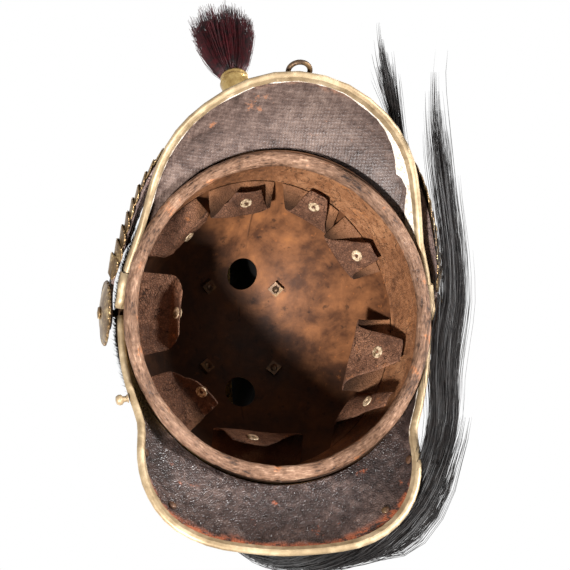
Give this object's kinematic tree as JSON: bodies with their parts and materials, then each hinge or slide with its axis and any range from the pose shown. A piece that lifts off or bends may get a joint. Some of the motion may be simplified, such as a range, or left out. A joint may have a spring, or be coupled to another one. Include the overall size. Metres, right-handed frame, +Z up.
{
  "type": "dragoon helmet",
  "caption": "Brass cavalry helmet with fluted crest, red front tuft, long black mane, leather visor and neck guard bound in brass, scaled chin straps and a tongued leather liner.",
  "frame": {"origin": "middle of the head opening in the plane of the floor on which the helmet stands, under the skull's centre", "axes": "+Z up towards the crown, -Y towards the visor, +X towards the wearer's left"},
  "size_m": [0.2408, 0.4304, 0.2798],
  "materials": {
    "skull_brass": "aged satin brass, brown and orange patina inside",
    "rim_brass": "worn pale brass with dull patina",
    "crest_brass": "pressed brass, tarnished in the flutes",
    "scale_brass": "polished on the crowns, dark between the scales",
    "dark_metal": "dark brown patina",
    "guard_leather": "black-brown leather, crazed and scuffed",
    "roll_leather": "rolled brown leather, cracked, shiny on top",
    "liner_leather": "tan lambskin with grained grey-brown tongues",
    "strap_leather": "grey-brown leather with orange scuffs",
    "turban_fur": "short brown fur",
    "horsehair": "straight black horsehair",
    "tuft_horsehair": "stiff dark red horsehair"
  },
  "bodies": {
    "helmet": {"skull_shell": "skull_brass", "fur_turban": "turban_fur", "visor_leather": "guard_leather", "visor_rim": "rim_brass", "neck_guard_leather": "guard_leather", "neck_guard_rim": "rim_brass", "neck_guard_rivets": "rim_brass", "side_edging_left": "rim_brass", "side_edging_right": "rim_brass", "sweatband_roll": "roll_leather", "liner_band": "liner_leather", "liner_tongues": "liner_leather", "liner_eyelets": "rim_brass", "crest_left_side": "crest_brass", "crest_right_side": "crest_brass", "crest_front_plate": "crest_brass", "crest_top_strip": "crest_brass", "crest_flange": "crest_brass", "crest_bolts": "dark_metal", "crest_nuts": "dark_metal", "tuft_cup": "crest_brass", "mane_collar": "crest_brass", "mane_rear_fall": "horsehair", "mane_side_lock": "horsehair", "mane_front_lock": "horsehair", "plume_socket": "rim_brass", "rosette_left": "scale_brass", "rosette_right": "scale_brass", "rosette_screws": "rim_brass", "hook_stud": "rim_brass"},
    "chin_straps": {"chin_strap_left_rear": "strap_leather", "chin_strap_left_front": "strap_leather", "chin_scales_left_rear": "scale_brass", "chin_scales_left_front": "scale_brass", "chin_strap_right_rear": "strap_leather", "chin_strap_right_front": "strap_leather", "chin_scales_right_rear": "scale_brass", "chin_scales_right_front": "scale_brass", "joining_ring": "dark_metal", "joining_hook": "dark_metal"},
    "tuft": {"tuft_collar": "crest_brass", "tuft_hair": "tuft_horsehair"}
  },
  "joints": [
    {"name": "chin_strap_swing", "type": "hinge", "parent": "helmet", "child": "chin_straps", "pos_m": [0, 0, 0.074], "axis": [1, 0, 0], "range_deg": [-45, 105], "deforming": ["chin_strap_left_front", "chin_scales_left_front", "chin_strap_right_front", "chin_scales_right_front", "joining_ring", "joining_hook", "mane_side_lock", "mane_front_lock"]},
    {"name": "tuft_lift", "type": "slide", "parent": "helmet", "child": "tuft", "axis": [0, -0.8455, 0.534], "range_m": [0, 0.016]}
  ]
}
